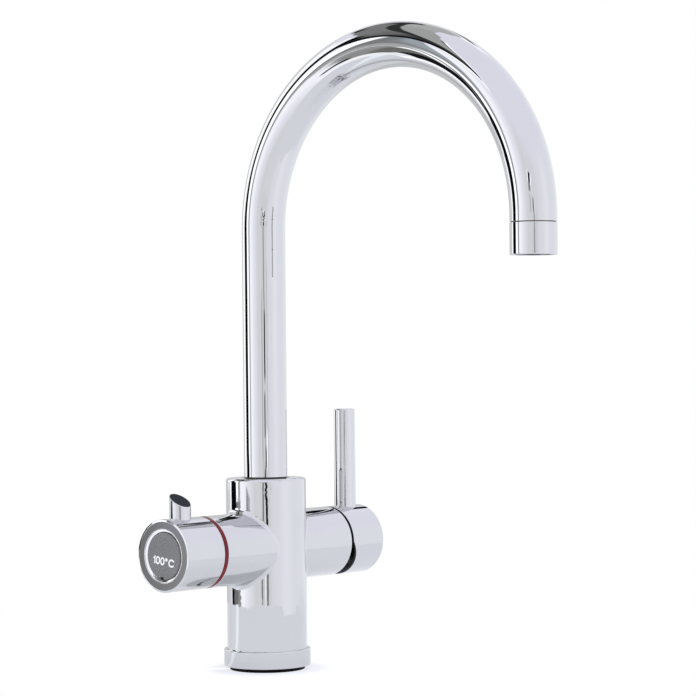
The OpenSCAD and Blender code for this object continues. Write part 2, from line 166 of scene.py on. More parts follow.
def chrome(name, kind):
    """Bright chrome plate. kind is how the metal under it was made: cast, tube or turned."""
    m, g, b, co = new_material(name)
    b.inputs["Metallic"].default_value = 1.0
    # very faint wiping haze, a little warmer where it is thicker
    haze = g.noise(co, 38.0, 4.0, 0.6)
    fine = g.noise(g.stretch(co, 1.0, 1.0, 0.35), 420.0, 3.0, 0.55)
    haze = g.ramp01(haze, 0.46, 0.74)
    g.put(b.inputs["Base Color"], g.mix(g.mul(haze, 0.5), CHROME, (0.612, 0.618, 0.622)))
    g.put(b.inputs["Roughness"], g.add(g.mul(haze, 0.020), g.ramp01(fine, 0.35, 0.8, 0.012, 0.030)))
    if kind == "cast":
        # the polished casting keeps a trace of orange peel
        h = g.add(g.noise(co, 62.0, 1.0, 0.4), g.mul(g.noise(co, 170.0, 1.0, 0.4), 0.42))
        n = g.bump(h, 0.000050)
    elif kind == "tube":
        # drawn and bent tube: long waves that run with the tube
        h = g.add(g.noise(g.stretch(co, 1.0, 0.45, 0.45), 70.0, 1.0, 0.4), g.mul(g.noise(g.stretch(co, 1.0, 0.3, 0.3), 260.0, 1.0, 0.4), 0.12))
        n = g.bump(h, 0.000042)
    else:
        # turned parts: fine rings about the arms' axis
        s = g.new("ShaderNodeSeparateXYZ")
        g.put(s.inputs[0], co)
        dz = g.sub(s.outputs["Z"], AZ * MM)
        rad = g.math("SQRT", g.add(g.mul(s.outputs["Y"], s.outputs["Y"]), g.mul(dz, dz)))
        rings = g.math("SINE", g.mul(rad, 2 * math.pi / 0.00035))
        n = g.bump(rings, 0.0000002)
        n = g.bump(g.noise(co, 80.0, 1.0, 0.4), 0.000007, normal=n)
    g.put(b.inputs["Normal"], n)
    return m


def plastic(name, colour, colour2, rough, grain=0.00002, scale=900.0, spec=0.5, coat=0.0):
    """Moulded plastic, rubber or ceramic with a fine grain."""
    m, g, b, co = new_material(name)
    cloud = g.ramp01(g.noise(co, 55.0, 4.0, 0.6), 0.35, 0.7)
    g.put(b.inputs["Base Color"], g.mix(cloud, colour, colour2))
    fine = g.noise(co, scale, 3.0, 0.6)
    g.put(b.inputs["Roughness"], g.ramp01(g.add(g.mul(fine, 0.6), g.mul(cloud, 0.4)), 0.3, 0.75, rough - 0.05, rough + 0.07))
    b.inputs["Specular IOR Level"].default_value = spec
    b.inputs["Coat Weight"].default_value = coat
    b.inputs["Coat Roughness"].default_value = 0.12
    g.put(b.inputs["Normal"], g.bump(fine, grain))
    return m


def metal(name, colour, colour2, rough, pitch=0.0006, axis="X"):
    """Machined metal with tool marks across the given axis."""
    m, g, b, co = new_material(name)
    b.inputs["Metallic"].default_value = 1.0
    cloud = g.ramp01(g.noise(co, 70.0, 4.0, 0.6), 0.3, 0.75)
    g.put(b.inputs["Base Color"], g.mix(cloud, colour, colour2))
    s = g.new("ShaderNodeSeparateXYZ")
    g.put(s.inputs[0], co)
    lines = g.math("SINE", g.mul(s.outputs[axis], 2 * math.pi / pitch))
    fine = g.noise(co, 700.0, 3.0, 0.6)
    g.put(b.inputs["Roughness"], g.ramp01(g.add(g.mul(fine, 0.5), g.mul(cloud, 0.5)), 0.3, 0.75, rough - 0.06, rough + 0.08))
    g.put(b.inputs["Normal"], g.bump(g.add(g.mul(lines, 0.5), fine), 0.000012))
    return m


M = {
    "cast": chrome("chrome_cast", "cast"),
    "tube": chrome("chrome_tube", "tube"),
    "turned": chrome("chrome_turned", "turned"),
    "rubber": plastic("rubber_black", (0.003, 0.003, 0.003), (0.005, 0.005, 0.005), 0.66, 0.00004, 700.0, 0.05),
    "dark": plastic("plastic_dark", (0.018, 0.018, 0.019), (0.028, 0.028, 0.030), 0.30, 0.00001, 1100.0, 0.5),
    "ivory": plastic("plastic_ivory", (0.66, 0.64, 0.56), (0.72, 0.70, 0.63), 0.38, 0.00002, 800.0),
    "ceramic": plastic("ceramic", (0.78, 0.78, 0.76), (0.86, 0.86, 0.85), 0.16, 0.000005, 1500.0),
    "silicone": plastic("silicone_hose", (0.50, 0.50, 0.47), (0.58, 0.58, 0.54), 0.45, 0.00002, 500.0),
    "red": plastic("red_band", (0.190, 0.010, 0.014), (0.150, 0.006, 0.010), 0.34, 0.00001, 900.0, 0.22),
    "button": plastic("button_grey", (0.185, 0.185, 0.183), (0.205, 0.205, 0.205), 0.34, 0.000012, 1300.0, 0.42),
    "print": plastic("mark_white", (0.95, 0.95, 0.95), (1.0, 1.0, 1.0), 0.50, 0.00001, 1500.0, 0.3),
    "bright": metal("bright_ring", (0.88, 0.88, 0.89), (0.92, 0.92, 0.93), 0.18),
    "brass": metal("brass", (0.60, 0.40, 0.16), (0.68, 0.47, 0.21), 0.30),
    "steel": metal("steel", (0.50, 0.49, 0.48), (0.58, 0.57, 0.56), 0.28),
    "black_steel": metal("black_steel", (0.055, 0.053, 0.052), (0.085, 0.083, 0.080), 0.38, 0.0005),
}

CAD_FINISH = {
    "rubber": ["manifold_o_rings", "spigot_o_rings", "nozzle_o_ring", "spindle_o_ring", "valve_seal", "port_seals"],
    "brass": ["inlet_manifold", "spout_spigot", "nozzle_adaptor", "boiling_valve", "valve_lock_nut", "valve_spindle", "cartridge_nut"],
    "steel": ["manifold_screws", "aerator_screen", "button_spring", "knob_screw", "stem_pin", "cartridge_stem", "pin_stud"],
    "black_steel": ["spout_grub_screw", "cap_grub_screw"],
    "ivory": ["knob_guide_ring", "knob_insert", "cartridge_carrier", "mixer_cartridge"],
    "ceramic": ["valve_fixed_disc", "valve_moving_disc", "mixer_fixed_disc", "mixer_moving_disc"],
    "silicone": ["boiling_hose"],
    "dark": ["swivel_bush", "disc_driver", "flow_straightener", "boiling_tip"],
}
for finish, names in CAD_FINISH.items():
    for n in names:
        mats = NODES[n].data.materials
        mats.clear()
        mats.append(M[finish])


# ---------------------------------------------------------------- mesh helpers
def piece(name, verts, faces, normal_of, finish, body, slot, nodes=(), face_mats=None, mats=None):
    """A mesh piece in the row frame. verts in mm; normal_of gives one normal for each face corner."""
    me = bpy.data.meshes.new(name)
    co = np.asarray(verts, float)
    loops = [np.asarray(n, float) for n in normal_of]
    out_f, out_n = [], []
    for f, ns in zip(faces, loops):
        p = co[list(f)]
        c = np.zeros(3)
        for i in range(len(f)):
            c += np.cross(p[i], p[(i + 1) % len(f)])
        if c @ ns.sum(0) < 0:
            f, ns = tuple(f)[::-1], ns[::-1]
        out_f.append(tuple(f))
        out_n.append(ns)
    me.from_pydata((co * MM).tolist(), [], out_f)
    me.validate(verbose=False)
    for p in me.polygons:
        p.use_smooth = True
    flat = np.concatenate(out_n)
    flat /= np.maximum(np.linalg.norm(flat, axis=1, keepdims=True), 1e-12)
    if len(flat) == len(me.loops):
        me.normals_split_custom_set(flat.tolist())
    else:
        raise RuntimeError(f"{name}: {len(flat)} normals for {len(me.loops)} corners")
    for k in mats or [finish]:
        me.materials.append(M[k])
    if face_mats is not None:
        me.polygons.foreach_set("material_index", face_mats)
    me.update()
    o = bpy.data.objects.new(name, me)
    bpy.context.scene.collection.objects.link(o)
    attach(o, body)
    if nodes:
        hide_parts(*nodes)
    return o


def profile(points, steps=6):
    """Edges of a closed outline in the (r, h) plane, counter-clockwise, as (p0, n0, p1, n1).
    A point is (r, h) or (r, h, f), where f rounds that corner."""
    n = len(points)
    pts = [np.array(p[:2], float) for p in points]
    fil = [p[2] if len(p) > 2 else 0.0 for p in points]
    corners = []
    for i in range(n):
        a, p, c = pts[i - 1], pts[i], pts[(i + 1) % n]
        if fil[i] <= 0:
            corners.append(None)
            continue
        u = (a - p) / np.linalg.norm(a - p)
        v = (c - p) / np.linalg.norm(c - p)
        half = math.acos(max(-1.0, min(1.0, float(u @ v)))) / 2
        t = fil[i] / math.tan(half)
        centre = p + (u + v) / np.linalg.norm(u + v) * fil[i] / math.sin(half)
        corners.append((p + u * t, p + v * t, centre))
    edges = []
    for i in range(n):
        j = (i + 1) % n
        if corners[i] is not None:
            s, e, c = corners[i]
            d = np.array([pts[i][0] - pts[i - 1][0], pts[i][1] - pts[i - 1][1]])
            d2 = pts[j] - pts[i]
            sign = 1.0 if d[0] * d2[1] - d[1] * d2[0] > 0 else -1.0
            a0 = math.atan2(*(s - c)[::-1])
            a1 = math.atan2(*(e - c)[::-1])
            da = (a1 - a0 + math.pi) % (2 * math.pi) - math.pi
            for k in range(steps):
                q = [a0 + da * (k + m) / steps for m in (0, 1)]
                w = [np.array([math.cos(x), math.sin(x)]) for x in q]
                edges.append((c + w[0] * fil[i], sign * w[0], c + w[1] * fil[i], sign * w[1]))
        a = pts[i] if corners[i] is None else corners[i][1]
        b = pts[j] if corners[j] is None else corners[j][0]
        if np.linalg.norm(b - a) > 1e-6:
            d = (b - a) / np.linalg.norm(b - a)
            nn = np.array([d[1], -d[0]])
            edges.append((a, nn, b, nn))
    return edges


AXES = {  # origin, axis, and the two directions across it
    "Z": (np.zeros(3), np.array([0, 0, 1.0]), np.array([1.0, 0, 0]), np.array([0, 1.0, 0])),
    "M": (np.array([0, 0, AZ]), np.array([1.0, 0, 0]), np.array([0, 0, 1.0]), np.array([0, 1.0, 0])),
    "B": (np.array([0, 0, AZ]), np.array([-1.0, 0, 0]), np.array([0, 0, 1.0]), np.array([0, -1.0, 0])),
}


def lathe(points, axis, n=144, steps=6, centre=(0, 0, 0), split=(), warp=None):
    """A closed outline turned about an axis. split is not used.
    warp(r, h, turn) may move a ring's point."""
    org, ax, e1, e2 = AXES[axis]
    org = org + np.array(centre, float)
    edges = profile(points, steps)
    more = []
    for p0, n0, p1, n1 in edges:
        k = 1
        length = np.linalg.norm(p1 - p0)
        if np.allclose(n0, n1) and length > 6.0 and min(p0[0], p1[0]) > 1e-6:
            k = int(length // 5) + 1
        for s in range(k):
            a, b = p0 + (p1 - p0) * s / k, p0 + (p1 - p0) * (s + 1) / k
            more.append((a, n0, b, n1))
    edges = more
    verts, rings, faces, norms = [], {}, [], []
    turn = np.arange(n) * 2 * math.pi / n
    radial = np.cos(turn)[:, None] * e1 + np.sin(turn)[:, None] * e2

    def ring(p):
        key = (round(float(p[0]), 5), round(float(p[1]), 5))
        if key not in rings:
            if p[0] < 1e-6:
                rings[key] = [len(verts)]
                verts.append(org + ax * p[1])
            else:
                rings[key] = list(range(len(verts), len(verts) + n))
                for i in range(n):
                    r, h = (p[0], p[1]) if warp is None else warp(p[0], p[1], turn[i])
                    verts.append(org + ax * h + radial[i] * r)
        return rings[key]

    for p0, n0, p1, n1 in edges:
        if p0[0] < 1e-6 and p1[0] < 1e-6:
            continue
        a, b = ring(p0), ring(p1)
        for i in range(n):
            j = (i + 1) % n
            vi, vj = radial[i], radial[j]
            na_i, na_j = vi * n0[0] + ax * n0[1], vj * n0[0] + ax * n0[1]
            nb_i, nb_j = vi * n1[0] + ax * n1[1], vj * n1[0] + ax * n1[1]
            if len(a) == 1:
                faces.append((a[0], b[j], b[i]))
                norms.append([ax * n0[1], nb_j, nb_i])
            elif len(b) == 1:
                faces.append((a[i], a[j], b[0]))
                norms.append([na_i, na_j, ax * n1[1]])
            else:
                faces.append((a[i], a[j], b[j], b[i]))
                norms.append([na_i, na_j, nb_j, nb_i])
    return verts, faces, norms


# ---------------------------------------------------------------- body casting
def body_casting():
    """Column and two arms with cast blends between them, as one closed skin."""
    half = 72
    n = 2 * half
    theta = np.arange(n) * 2 * math.pi / n
    verts, faces, norms = [], [], []
    hw = RC * math.pi / 2  # half the column's unrolled width
    top, bot = COL_TOP - COL_ROUND - AZ, COL_LO - AZ
    hole_v, hole_r = 17.0, 2.5  # the grub screw's hole, on the back seam

    def outer():
        """Where each of the n rays meets the half column's unrolled outline, from the top middle round through +y."""
        pts = []
        for k in range(16):
            pts.append((hw * k / 16, top))
        for k in range(5):
            pts.append((hw, top + (hole_v + hole_r - top) * k / 5))
        for k in range(12):
            a = math.pi * k / 12
            pts.append((hw - hole_r * math.sin(a), hole_v + hole_r * math.cos(a)))
        for k in range(26):
            pts.append((hw, hole_v - hole_r + (bot - hole_v + hole_r) * k / 26))
        for k in range(13):
            pts.append((hw * (1 - k / 13), bot))
        other = [(0.0, bot)]
        for k in range(1, 14):
            other.append((-hw * k / 13, bot))
        for k in range(1, 44):
            other.append((-hw, bot + (top - bot) * k / 43))
        for k in range(1, 16):
            other.append((-hw * (1 - k / 16), top))
        return pts + other

    edge = outer()
    assert len(edge) == n, len(edge)
    seam = {}  # shared vertices on the two halves' common lines

    def col_vert(side, u, v):
        phi = u / RC
        key = None
        if abs(abs(u) - hw) < 1e-6:
            key = (round(u, 4), round(v, 4))
            if key in seam:
                return seam[key]
        idx = len(verts)
        verts.append(np.array([side * RC * math.cos(phi), RC * math.sin(phi), AZ + v]))
        if key:
            seam[key] = idx
        return idx

    def quad(a, b, c, d, na, nb, nc, nd):
        faces.append((a, b, c, d))
        norms.append([na, nb, nc, nd])

    rims = {}
    for side, end, bore, depth in ((-1, ARM_B, 17.5, 40.0), (1, ARM_M, 17.8, 24.0)):
        s, c = np.sin(theta), np.cos(theta)
        yc, zc = (RA + FIL) * s, (RA + FIL) * c
        xc = np.sqrt((RC + FIL) ** 2 - yc**2)
        rows = []  # each row: (vertex ids, normals)

        def arm_row(x, r, nx, nr):
            ids = list(range(len(verts), len(verts) + n))
            xs = np.broadcast_to(x, (n,))
            for i in range(n):
                verts.append(np.array([side * xs[i], r * s[i], AZ + r * c[i]]))
            return ids, [np.array([side * nx, nr * s[i], nr * c[i]]) for i in range(n)]

        # chamber inside the arm, then the end face, its rounded edge and the arm
        f = 0.35
        cap = len(verts)
        verts.append(np.array([side * depth, 0, AZ]))
        inner = arm_row(depth, bore, 1.0, 0.0)
        for i in range(n):
            j = (i + 1) % n
            faces.append((cap, inner[0][i], inner[0][j]))
            norms.append([np.array([side, 0, 0])] * 3)
        wall_in, wall_out = (inner[0], arm_row(depth, bore, 0, -1)[1]), None
        del verts[-n:]
        mouth = arm_row(end, bore, 0.0, -1.0)
        rows.append((wall_in, mouth))
        face_out = arm_row(end, RA - f, 1.0, 0.0)
        rows.append(((mouth[0], face_out[1]), face_out))
        prev = face_out
        for k in range(1, 5):
            a = math.pi / 2 * k / 4
            cur = arm_row(end - f + f * math.cos(a), RA - f + f * math.sin(a), math.cos(a), math.sin(a))
            rows.append((prev, cur))
            prev = cur
        for k in range(1, 7):
            x = (end - f) + (xc - (end - f)) * k / 6
            cur = arm_row(x, RA, 0.0, 1.0)
            rows.append((prev, cur))
            prev = cur
        # rolling-ball blend from the arm to the column
        ctr = np.stack([xc, yc, zc], 1)
        na = np.stack([np.zeros(n), -s, -c], 1)  # from the ball's centre to the arm
        nc_ = -np.stack([xc, yc, np.zeros(n)], 1) / (RC + FIL)  # and to the column
        ang = np.arccos(np.clip((na * nc_).sum(1), -1, 1))
        for k in range(1, 11):
            t = k / 10
            w = (np.sin((1 - t) * ang)[:, None] * na + np.sin(t * ang)[:, None] * nc_) / np.sin(ang)[:, None]
            p = ctr + FIL * w
            ids = list(range(len(verts), len(verts) + n))
            nn = []
            for i in range(n):
                verts.append(np.array([side * p[i, 0], p[i, 1], AZ + p[i, 2]]))
                nn.append(np.array([-side * w[i, 0], -w[i, 1], -w[i, 2]]))
            cur = (ids, nn)
            rows.append((prev, cur))
            prev = cur
        # the column's surface, out to the half's outline
        uc = RC * np.arcsin(yc / (RC + FIL))
        steps = 12
        for k in range(1, steps + 1):
            t = k / steps
            t = 0.55 * t + 0.45 * t * t
            ids, nn = [], []
            for i in range(n):
                u = uc[i] + (edge[i][0] - uc[i]) * t
                v = zc[i] + (edge[i][1] - zc[i]) * t
                if k == steps:
                    u, v = edge[i]
                ids.append(col_vert(side, u, v))
                nn.append(np.array([side * math.cos(u / RC), math.sin(u / RC), 0.0]))
            cur = (ids, nn)
            rows.append((prev, cur))
            prev = cur
        rims[side] = prev[0]
        for (ia, nna), (ib, nnb) in rows:
            for i in range(n):
                j = (i + 1) % n
                quad(ia[i], ia[j], ib[j], ib[i], nna[i], nna[j], nnb[j], nnb[i])

    def loop_of(v_level):
        """The column's ring of shared vertices at one level, in order of angle."""
        ids = set()
        for rim in rims.values():
            for i in rim:
                if abs(verts[i][2] - AZ - v_level) < 1e-6:
                    ids.add(i)
        return sorted(ids, key=lambda i: math.atan2(verts[i][1], verts[i][0]))

    def stack(ring, outline):
        """Rings that follow an outline of (r, z, nr, nz) pairs from one ring of the column, closed by a disc."""
        ang = [math.atan2(verts[i][1], verts[i][0]) for i in ring]
        m = len(ring)
        prev, first = ring, True
        for (r0, z0, nr0, nz0), (r1, z1, nr1, nz1) in outline:
            if r1 < 1e-9:
                idx = len(verts)
                verts.append(np.array([0, 0, z1]))
                for i in range(m):
                    j = (i + 1) % m
                    faces.append((prev[i], prev[j], idx))
                    norms.append([np.array([0, 0, nz1])] * 3)
                continue
            ids = list(range(len(verts), len(verts) + m))
            for a in ang:
                verts.append(np.array([r1 * math.cos(a), r1 * math.sin(a), z1]))
            for i in range(m):
                j = (i + 1) % m
                ci, si, cj, sj = math.cos(ang[i]), math.sin(ang[i]), math.cos(ang[j]), math.sin(ang[j])
                quad(prev[i], prev[j], ids[j], ids[i],
                     np.array([nr0 * ci, nr0 * si, nz0]), np.array([nr0 * cj, nr0 * sj, nz0]),
                     np.array([nr1 * cj, nr1 * sj, nz1]), np.array([nr1 * ci, nr1 * si, nz1]))
            prev = ids

    up = []
    f, zt = COL_ROUND, COL_TOP
    arc = [(RC - f + f * math.cos(a), zt - f + f * math.sin(a), math.cos(a), math.sin(a)) for a in [math.pi / 2 * k / 10 for k in range(11)]]
    up += list(zip(arc[:-1], arc[1:]))
    up.append(((RC - f, zt, 0, 1), (14.7, zt, 0, 1)))
    up.append(((14.7, zt, 0, 1), (14.5, zt - 0.2, -0.7, 0.7)))
    up.append(((14.5, zt - 0.2, -1, 0), (14.5, 103, -1, 0)))
    up.append(((14.5, 103, 0, 1), (12.05, 103, 0, 1)))
    up.append(((12.05, 103, -1, 0), (12.05, 84, -1, 0)))
    up.append(((12.05, 84, 0, 1), (0, 84, 0, 1)))
    stack(loop_of(top), up)
    dn = [((RC, 12.4, 0, -1), (20.0, 12.4, 0, -1)), ((20, 12.4, 1, 0), (20, 2.3, 1, 0)), ((20, 2.3, 0, -1), (17, 2.3, 0, -1)),
          ((17, 2.3, -1, 0), (17, 20, -1, 0)), ((17, 20, 0, -1), (0, 20, 0, -1))]
    stack(loop_of(bot), dn)

    # the grub screw's hole: its wall runs straight in and ends on a disc
    hole = [i for i in seam.values() if abs(math.hypot(verts[i][0], verts[i][2] - AZ - hole_v) - hole_r) < 0.02 and verts[i][1] > 0]
    for rim in rims.values():
        for i in rim:
            if verts[i][1] > 0 and abs(math.hypot(math.asin(max(-1, min(1, verts[i][0] / RC))) * RC, verts[i][2] - AZ - hole_v) - hole_r) < 0.02:
                hole.append(i)
    hole = sorted(set(hole), key=lambda i: math.atan2(verts[i][2] - AZ - hole_v, verts[i][0]))
    ids = list(range(len(verts), len(verts) + len(hole)))
    for i in hole:
        verts.append(np.array([verts[i][0], 17.0, verts[i][2]]))
    mid = len(verts)
    verts.append(np.array([0, 17.0, AZ + hole_v]))
    m = len(hole)
    for i in range(m):
        j = (i + 1) % m
        w = [np.array([-verts[hole[k]][0], 0, -(verts[hole[k]][2] - AZ - hole_v)]) / hole_r for k in (i, j)]
        quad(hole[i], hole[j], ids[j], ids[i], w[0], w[1], w[1], w[0])
        faces.append((ids[i], ids[j], mid))
        norms.append([np.array([0, 1.0, 0])] * 3)
    return verts, faces, norms


# ---------------------------------------------------------------- spout
def spout_tube():
    ro, ri, foot, bend, rad, end = 13.0, 11.5, 114.9, 262.5, 102.0, 258.8
    n = 128
    path = []  # (y, z, ty, tz)
    for k in range(31):
        path.append((0.0, foot + (bend - foot) * k / 30, 0.0, 1.0))
    for k in range(1, 181):
        a = math.pi * k / 180
        path.append((-rad + rad * math.cos(a), bend + rad * math.sin(a), -math.sin(a), math.cos(a)))
    path.append((-2 * rad, end, 0.0, -1.0))
    turn = np.arange(n) * 2 * math.pi / n
    verts, faces, norms, rings = [], [], [], {}

    def ring(k, r, back=0.0):
        key = (k, r, back)
        if key not in rings:
            y, z, ty, tz = path[k]
            y, z = y + ty * back, z + tz * back
            m = np.array([0, tz, -ty])  # across the path, in its plane
            d = np.cos(turn)[:, None] * np.array([1.0, 0, 0]) + np.sin(turn)[:, None] * m
            ids = list(range(len(verts), len(verts) + n))
            verts.extend(list(np.array([0, y, z]) + r * d))
            rings[key] = (ids, d, np.array([0, ty, tz]))
        return rings[key]

    def join(a, b, na, nb):
        for i in range(n):
            j = (i + 1) % n
            faces.append((a[0][i], a[0][j], b[0][j], b[0][i]))
            norms.append([na[i], na[j], nb[j], nb[i]])

    last = len(path) - 1
    for r, sign in ((ro, 1.0), (ri, -1.0)):
        for k in range(last):
            a, b = ring(k, r, 0.2 if (k == 0 and r == ro) else 0.0), ring(k + 1, r, -0.2 if (k + 1 == last and r == ro) else 0.0)
            join(a, b, sign * a[1], sign * b[1])
    for k, s in ((0, -1.0), (last, 1.0)):
        a, e, b = ring(k, ro, -0.2 * s), ring(k, ro - 0.2, 0.0), ring(k, ri, 0.0)
        t = np.tile(s * a[2], (n, 1))
        join(a, e, a[1], t)
        join(e, b, t, t)
    return verts, faces, norms


# ---------------------------------------------------------------- mixer cap
def mixer_cap():
    x_in, x_end, rnd, bore, wide, step_x, floor_x = 55.4, 83.2, 1.5, 17.9, 19.6, 62.5, 71.1
    ax_x, ax_z, rr = 14.7, 51.0, 46.4
    n = 144
    turn = np.arange(n) * 2 * math.pi / n
    s, c = np.sin(turn), np.cos(turn)
    verts, faces, norms = [], [], []

    def rim(r):
        """x of the rim and its normal at radius r, for every turn."""
        z = AZ + r * c
        x = np.where(z < 74.0, ax_x + np.sqrt(rr**2 - (z - ax_z) ** 2), x_in)
        x = np.maximum(x, x_in)
        nx = np.where(z < 74.0, (ax_x - x) / rr, -1.0)
        nz = np.where(z < 74.0, (ax_z - z) / rr, 0.0)
        return x, np.stack([nx, np.zeros(n), nz], 1)

    def row(x, r, nn):
        ids = list(range(len(verts), len(verts) + n))
        xs, rs = np.broadcast_to(x, (n,)), np.broadcast_to(r, (n,))
        for i in range(n):
            verts.append(np.array([xs[i], rs[i] * s[i], AZ + rs[i] * c[i]]))
        return ids, nn

    radial = np.stack([np.zeros(n), s, c], 1)
    axial = np.tile(np.array([1.0, 0, 0]), (n, 1))
    rows = []
    mid = len(verts)
    verts.append(np.array([floor_x, 0, AZ]))
    fl = row(floor_x, bore, -axial)
    for i in range(n):
        j = (i + 1) % n
        faces.append((mid, fl[0][i], fl[0][j]))
        norms.append([-axial[0]] * 3)
    prev = (fl[0], -radial)
    cur = row(step_x, bore, -radial)
    rows.append((prev, cur))
    prev = (cur[0], -axial)
    cur = row(step_x, wide, -axial)
    rows.append((prev, cur))
    prev = (cur[0], -radial)
    xi, ni = rim(wide)
    for k in range(1, 5):
        cur = row(step_x + (xi - step_x) * k / 4, wide, -radial)
        rows.append((prev, cur))
        prev = cur
    prev = (prev[0], ni)
    f = 0.2
    for r in (20.2, RA - f):
        x, nn = rim(r)
        cur = row(x, r, nn)
        rows.append((prev, cur))
        prev = cur
    x0, n0 = rim(RA - f)
    for k in range(1, 5):
        a = math.pi / 2 * k / 4
        nn = n0 * math.cos(a) + radial * math.sin(a)
        x = x0 + f - f * math.cos(a)
        cur = row(x, RA - f + f * math.sin(a), nn)
        rows.append((prev, cur))
        prev = cur
    xs = x0 + f
    # straight side, with a patch of even cells round the grub screw's hole
    hx, hr, half = 74.5, 2.5, 4
    cell = RA * 2 * math.pi / n
    stops = [hx + cell * k for k in range(-half, half + 1)]
    grid = []
    for k in range(1, 7):
        cur = row(xs + (stops[0] - xs) * k / 6, RA, radial)
        rows.append((prev, cur))
        prev = cur
    grid.append(prev)
    first_patch = len(rows)
    for x in stops[1:]:
        cur = row(x, RA, radial)
        rows.append((prev, cur))
        grid.append(cur)
        prev = cur
    last_patch = len(rows)
    cur = row(x_end - rnd, RA, radial)
    rows.append((prev, cur))
    prev = cur
    for k in range(1, 9):
        a = math.pi / 2 * k / 8
        nn = axial * math.sin(a) + radial * math.cos(a)
        cur = row(x_end - rnd + rnd * math.sin(a), RA - rnd + rnd * math.cos(a), nn)
        rows.append((prev, cur))
        prev = cur
    for r in (15.0, 9.0, 4.0):
        cur = row(x_end, r, axial)
        rows.append((prev, cur))
        prev = cur
    mid = len(verts)
    verts.append(np.array([x_end, 0, AZ]))
    for i in range(n):
        j = (i + 1) % n
        faces.append((mid, prev[0][i], prev[0][j]))
        norms.append([axial[0]] * 3)
    down = n // 2
    for q, ((ia, na), (ib, nb)) in enumerate(rows):
        for i in range(n):
            j = (i + 1) % n
            if first_patch <= q < last_patch and down - half <= i < down + half:
                continue
            faces.append((ia[i], ia[j], ib[j], ib[i]))
            norms.append([na[i], na[j], nb[j], nb[i]])
    # ring of cells between the patch's outline and the round hole
    loop = [(0, k) for k in range(-half, half)] + [(k, half) for k in range(2 * half)] \
        + [(2 * half, -k) for k in range(-half, half)] + [(2 * half - k, -half) for k in range(2 * half)]
    outer = [grid[a][0][down + b] for a, b in loop]
    on = [radial[down + b] for a, b in loop]
    m = len(outer)
    rim_ids, rim_n, wall = [], [], []
    for a, b in loop:
        q = math.atan2(b * cell, (a - half) * cell)
        hxp, hyp = hx + hr * math.cos(q), -hr * math.sin(q)
        z = AZ - math.sqrt(RA**2 - hyp**2)
        rim_ids.append(len(verts))
        verts.append(np.array([hxp, hyp, z]))
        rim_n.append(np.array([0, hyp, z - AZ]) / RA)
        wall.append(np.array([-math.cos(q), math.sin(q), 0]))
    deep = list(range(len(verts), len(verts) + m))
    for i in rim_ids:
        verts.append(np.array([verts[i][0], verts[i][1], AZ - 5.0]))
    mid = len(verts)
    verts.append(np.array([hx, 0, AZ - 5.0]))
    for i in range(m):
        j = (i + 1) % m
        faces.append((outer[i], outer[j], rim_ids[j], rim_ids[i]))
        norms.append([on[i], on[j], rim_n[j], rim_n[i]])
        faces.append((rim_ids[i], rim_ids[j], deep[j], deep[i]))
        norms.append([wall[i], wall[j], wall[j], wall[i]])
        faces.append((deep[i], deep[j], mid))
        norms.append([np.array([0, 0, -1.0])] * 3)
    return verts, faces, norms


# ---------------------------------------------------------------- pin lever
def knob_pin():
    r, x0, foot, top, drop, f = 6.3, -71.3, 91.65, 108.1, 7.6, 0.35
    k = drop / (2 * r)  # the top falls by k for each mm toward the front
    n = 96
    turn = np.arange(n) * 2 * math.pi / n
    rad = np.stack([np.cos(turn), np.sin(turn), np.zeros(n)], 1)
    flat = np.array([0, -k, 1.0]) / math.hypot(1, k)
    verts, faces, norms = [], [], []

    def row(rr, z, nn):
        ids = list(range(len(verts), len(verts) + n))
        zz = np.broadcast_to(z, (n,))
        for i in range(n):
            verts.append(np.array([x0 + rr * rad[i, 0], rr * rad[i, 1], zz[i]]))
        return ids, nn

    def plane(rr):
        return top - k * (r - rr * np.sin(turn))

    rows = []
    mid = len(verts)
    verts.append(np.array([x0, 0, foot]))
    low = row(r, foot, rad)
    for i in range(n):
        faces.append((mid, low[0][i], low[0][(i + 1) % n]))
        norms.append([np.array([0, 0, -1.0])] * 3)
    prev = low
    for q in range(1, 5):
        cur = row(r, foot + (plane(r) - f - foot) * q / 4, rad)
        rows.append((prev, cur))
        prev = cur
    for q in range(1, 6):
        a = math.pi / 2 * q / 5
        rr = r - f + f * math.cos(a)
        nn = rad * math.cos(a) + flat * math.sin(a)
        cur = row(rr, plane(rr) - f + f * math.sin(a), nn)
        rows.append((prev, cur))
        prev = cur
    up = np.tile(flat, (n, 1))
    prev = (prev[0], up)
    for rr in (4.4, 2.6, 1.0):
        cur = row(rr, plane(rr), up)
        rows.append((prev, cur))
        prev = cur
    mid = len(verts)
    verts.append(np.array([x0, 0, top - k * r]))
    for i in range(n):
        faces.append((mid, prev[0][i], prev[0][(i + 1) % n]))
        norms.append([flat] * 3)
    for (ia, na), (ib, nb) in rows:
        for i in range(n):
            j = (i + 1) % n
            faces.append((ia[i], ia[j], ib[j], ib[i]))
            norms.append([na[i], na[j], nb[j], nb[i]])
    return verts, faces, norms


# ---------------------------------------------------------------- temperature mark
TILT = math.radians(-7.0)  # the button sits turned a little in its ring


